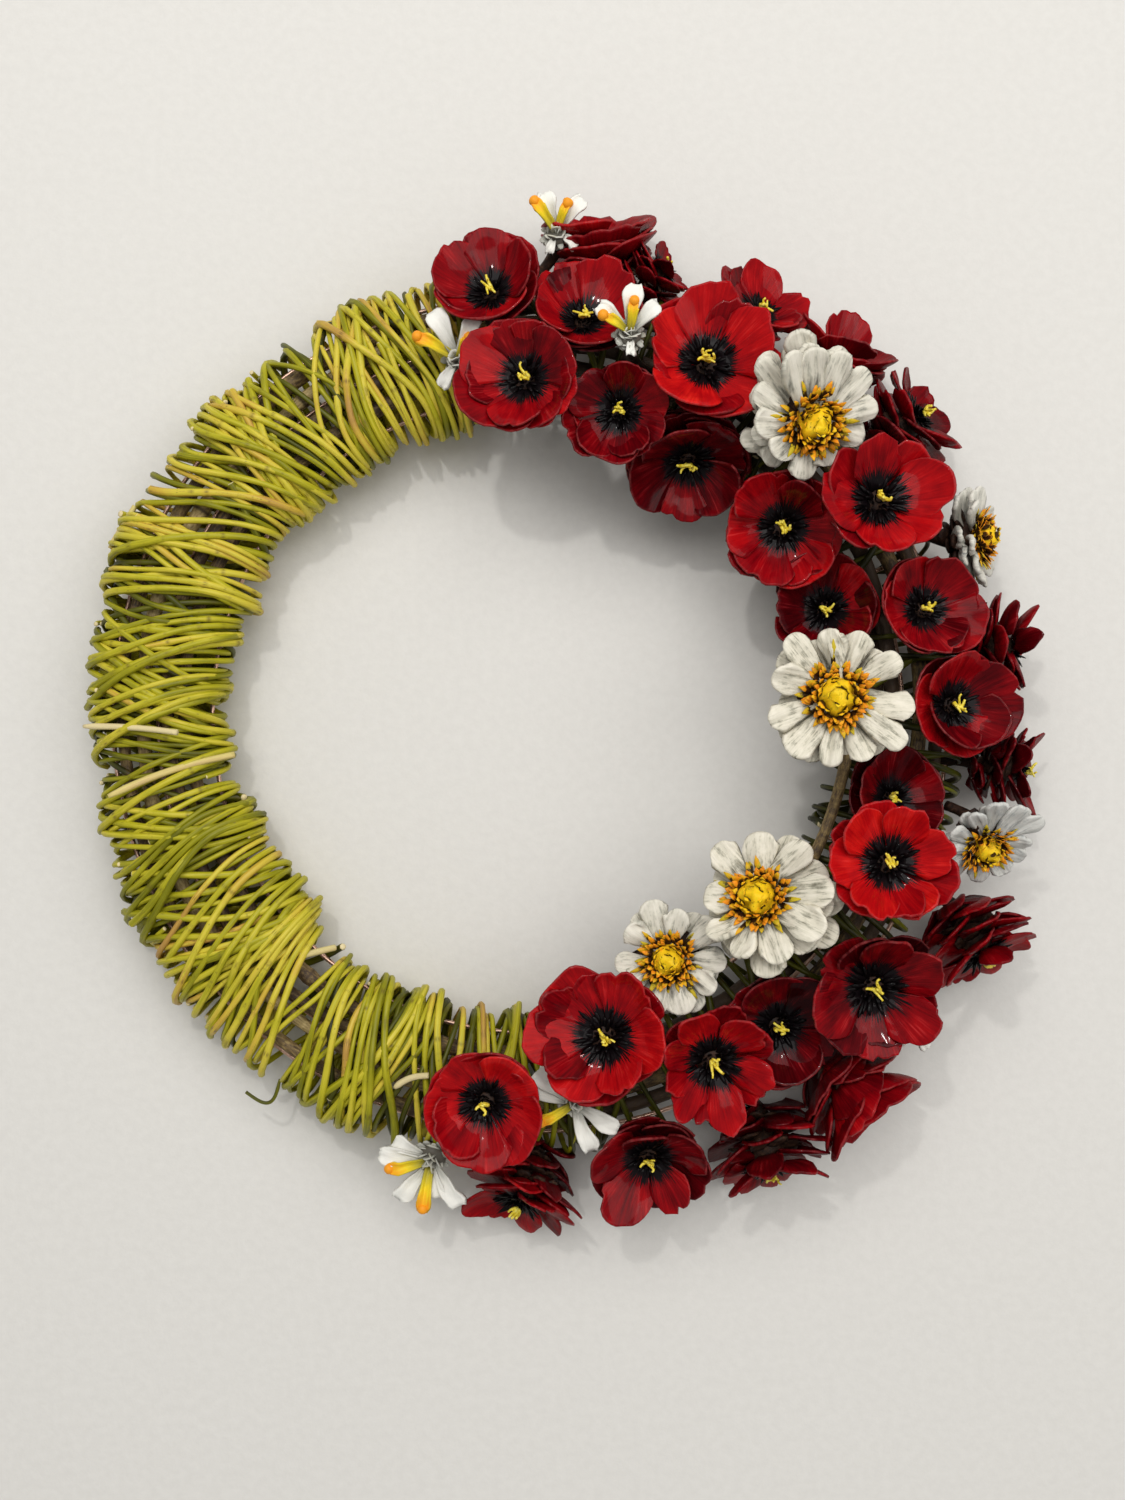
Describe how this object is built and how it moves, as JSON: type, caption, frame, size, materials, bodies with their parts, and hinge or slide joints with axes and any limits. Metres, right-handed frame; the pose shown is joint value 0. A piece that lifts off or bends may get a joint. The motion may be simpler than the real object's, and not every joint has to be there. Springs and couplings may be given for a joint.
{
  "type": "willow wreath",
  "caption": "Round wreath of green willow wound over a wire ring, with painted cone flowers in red and white set over its right side and foot.",
  "frame": {"origin": "middle of the bounding box's underside, on the surface the wreath lies on", "axes": "+Z out of the wreath's face, +Y to its top as it hangs, +X to its flowered side"},
  "size_m": [0.451, 0.491, 0.1015],
  "materials": {
    "copper_wire": "copper-coated steel wire, dull shine",
    "brown_rod": "dry rods with brown bark",
    "green_willow": "fresh willow with yellow-green bark, a slight sheen",
    "red_cone": "cone scales painted glossy red with a black middle and a yellow tuft",
    "white_cone": "cone scales painted off-white over grey, yellow and orange middle",
    "small_cone": "narrow cone scales painted white and yellow"
  },
  "bodies": {
    "root": {"wire_frame": "copper_wire", "core_rod_1": "brown_rod", "core_rod_2": "brown_rod", "core_rod_3": "brown_rod", "core_rod_4": "brown_rod", "inner_withy_1": "green_willow", "inner_withy_2": "green_willow", "inner_withy_3": "green_willow", "inner_withy_4": "green_willow", "inner_withy_5": "green_willow", "inner_withy_6": "green_willow", "inner_withy_7": "green_willow", "outer_withy_1": "green_willow", "outer_withy_2": "green_willow", "outer_withy_3": "green_willow", "outer_withy_4": "green_willow", "outer_withy_5": "green_willow", "poppy_01": "red_cone", "poppy_02": "red_cone", "poppy_03": "red_cone", "poppy_04": "red_cone", "poppy_05": "red_cone", "poppy_06": "red_cone", "poppy_07": "red_cone", "poppy_08": "red_cone", "poppy_09": "red_cone", "poppy_10": "red_cone", "poppy_11": "red_cone", "poppy_12": "red_cone", "poppy_13": "red_cone", "poppy_14": "red_cone", "poppy_15": "red_cone", "poppy_16": "red_cone", "poppy_17": "red_cone", "poppy_18": "red_cone", "poppy_19": "red_cone", "poppy_20": "red_cone", "poppy_21": "red_cone", "poppy_22": "red_cone", "poppy_23": "red_cone", "poppy_24": "red_cone", "poppy_25": "red_cone", "poppy_26": "red_cone", "poppy_27": "red_cone", "poppy_28": "red_cone", "poppy_29": "red_cone", "poppy_30": "red_cone", "white_01": "white_cone", "white_02": "white_cone", "white_03": "white_cone", "white_04": "white_cone", "white_05": "white_cone", "white_06": "white_cone", "small_01": "small_cone", "small_02": "small_cone", "small_03": "small_cone", "small_04": "small_cone", "small_05": "small_cone", "small_06": "small_cone"}
  },
  "joints": []
}
